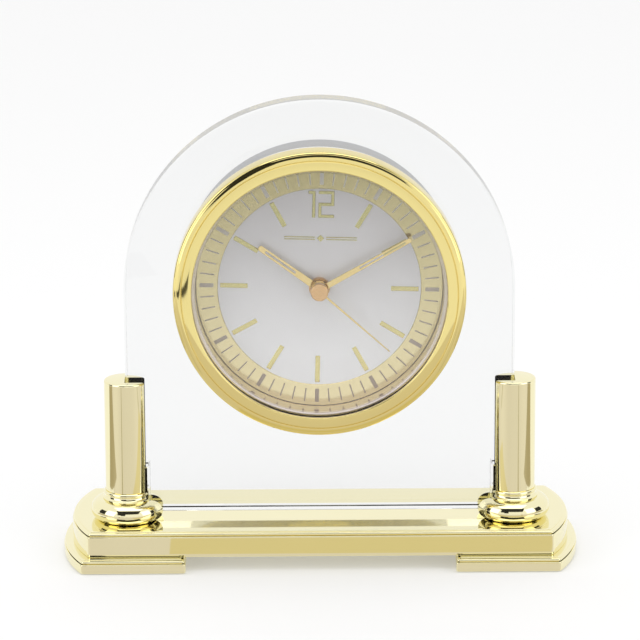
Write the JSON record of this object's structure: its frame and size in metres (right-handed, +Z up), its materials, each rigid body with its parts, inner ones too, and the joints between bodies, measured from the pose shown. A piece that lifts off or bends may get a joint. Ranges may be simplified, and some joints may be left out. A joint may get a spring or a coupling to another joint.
{
  "type": "mantel clock",
  "caption": "Arched glass mantel clock: round quartz clock insert in a clear arched panel, held by slotted gold pillars on a stepped gold base with separate feet.",
  "frame": {"origin": "middle of the footprint, on the table under the felt pads", "axes": "+Z up; the dial faces -Y; +X to the right as the dial is read"},
  "size_m": [0.17, 0.055, 0.1548],
  "materials": {
    "polished_gold": "mirror-polished pale gold plating",
    "bezel_gold": "mirror-polished yellow gold plating",
    "clear_glass": "polished clear glass with fine bevels",
    "lens_glass": "flat clear lens",
    "dial_silver": "fine satin silver lacquer",
    "chapter_gold": "glossy pale gold plating",
    "marker_gold": "polished gold",
    "print_white": "printed enamel",
    "rose_gold": "satin rose gold",
    "can_grey": "smooth silver-grey lacquer",
    "white_plastic": "moulded, fine texture",
    "black_plastic": "moulded, fine texture",
    "gear_plastic": "natural moulded plastic",
    "steel": "plain",
    "copper_wire": "enamelled copper",
    "board_green": "solder mask",
    "black_rubber": "soft",
    "clear_silicone": "translucent",
    "felt": "pressed felt",
    "cell_wrap": "plain printed sleeve"
  },
  "bodies": {
    "stand": {"base_block": "polished_gold", "foot_left": "polished_gold", "foot_right": "polished_gold", "pillar_left": "polished_gold", "pillar_right": "polished_gold", "neck_ring_left": "polished_gold", "neck_ring_right": "polished_gold", "bun_left": "polished_gold", "bun_right": "polished_gold", "foot_screws": "steel", "foot_pads": "felt", "pillar_bolts": "steel", "glass_panel": "clear_glass", "glass_rests": "clear_silicone", "bezel": "bezel_gold", "bezel_gasket": "clear_silicone", "grip_band": "clear_silicone", "front_lens": "lens_glass", "inner_wall_ring": "chapter_gold", "dial_plate": "dial_silver", "chapter_ring": "chapter_gold", "minute_ticks": "print_white", "hour_markers": "marker_gold", "numeral_twelve": "marker_gold", "dial_ornament": "marker_gold", "rear_can": "can_grey", "standoff_posts": "steel", "can_screws": "steel", "movement_front_case": "black_plastic", "movement_back_case": "black_plastic", "middle_plate": "white_plastic", "movement_washer": "black_rubber", "ring_nut": "rose_gold", "stator": "steel", "coil_core": "steel", "coil_bobbin": "white_plastic", "coil_winding": "copper_wire", "circuit_board": "board_green", "quartz_crystal": "steel", "chip_resin": "black_plastic", "battery_contact_plus": "steel", "battery_contact_minus": "steel"},
    "battery_cell": {"battery": "cell_wrap"},
    "seconds": {"seconds_wheel": "gear_plastic", "second_hand": "marker_gold", "hub_cap": "rose_gold"},
    "reduction": {"reduction_wheel": "gear_plastic"},
    "rotor_assembly": {"rotor": "gear_plastic"},
    "third": {"third_wheel": "gear_plastic"},
    "minutes": {"centre_wheel": "gear_plastic", "minute_hand": "marker_gold"},
    "motion_work": {"motion_wheel": "gear_plastic", "setting_knob": "white_plastic"},
    "hours": {"hour_wheel": "gear_plastic", "hour_hand": "marker_gold"}
  },
  "joints": [
    {"name": "second_hand_turn", "type": "hinge", "parent": "stand", "child": "seconds", "pos_m": [0, -0.0016, 0.092], "axis": [0, 1, 0], "continuous": true},
    {"name": "reduction_wheel_turn", "type": "hinge", "parent": "stand", "child": "reduction", "pos_m": [0.00758, -0.0016, 0.09638], "axis": [0, 1, 0], "continuous": true},
    {"name": "rotor_turn", "type": "hinge", "parent": "stand", "child": "rotor_assembly", "pos_m": [0.01434, -0.0016, 0.09884], "axis": [0, 1, 0], "continuous": true},
    {"name": "third_wheel_turn", "type": "hinge", "parent": "stand", "child": "third", "pos_m": [-0.00935, -0.0016, 0.0974], "axis": [0, 1, 0], "continuous": true},
    {"name": "minute_hand_turn", "type": "hinge", "parent": "stand", "child": "minutes", "pos_m": [0, -0.0016, 0.092], "axis": [0, 1, 0], "continuous": true},
    {"name": "setting_knob_turn", "type": "hinge", "parent": "stand", "child": "motion_work", "pos_m": [0.0028, -0.0016, 0.10243], "axis": [0, 1, 0], "continuous": true},
    {"name": "hour_hand_turn", "type": "hinge", "parent": "stand", "child": "hours", "pos_m": [0, -0.0016, 0.092], "axis": [0, 1, 0], "continuous": true},
    {"name": "battery_slide", "type": "slide", "parent": "stand", "child": "battery_cell", "axis": [0, 1, 0], "range_m": [0, 0.03]}
  ],
  "couplings": [
    {"joint": "reduction_wheel_turn", "follows": "second_hand_turn", "ratio": -6},
    {"joint": "rotor_turn", "follows": "second_hand_turn", "ratio": 30},
    {"joint": "third_wheel_turn", "follows": "second_hand_turn", "ratio": -0.13333},
    {"joint": "minute_hand_turn", "follows": "second_hand_turn", "ratio": 0.016667},
    {"joint": "setting_knob_turn", "follows": "second_hand_turn", "ratio": -0.0055556},
    {"joint": "hour_hand_turn", "follows": "second_hand_turn", "ratio": 0.0013889}
  ]
}
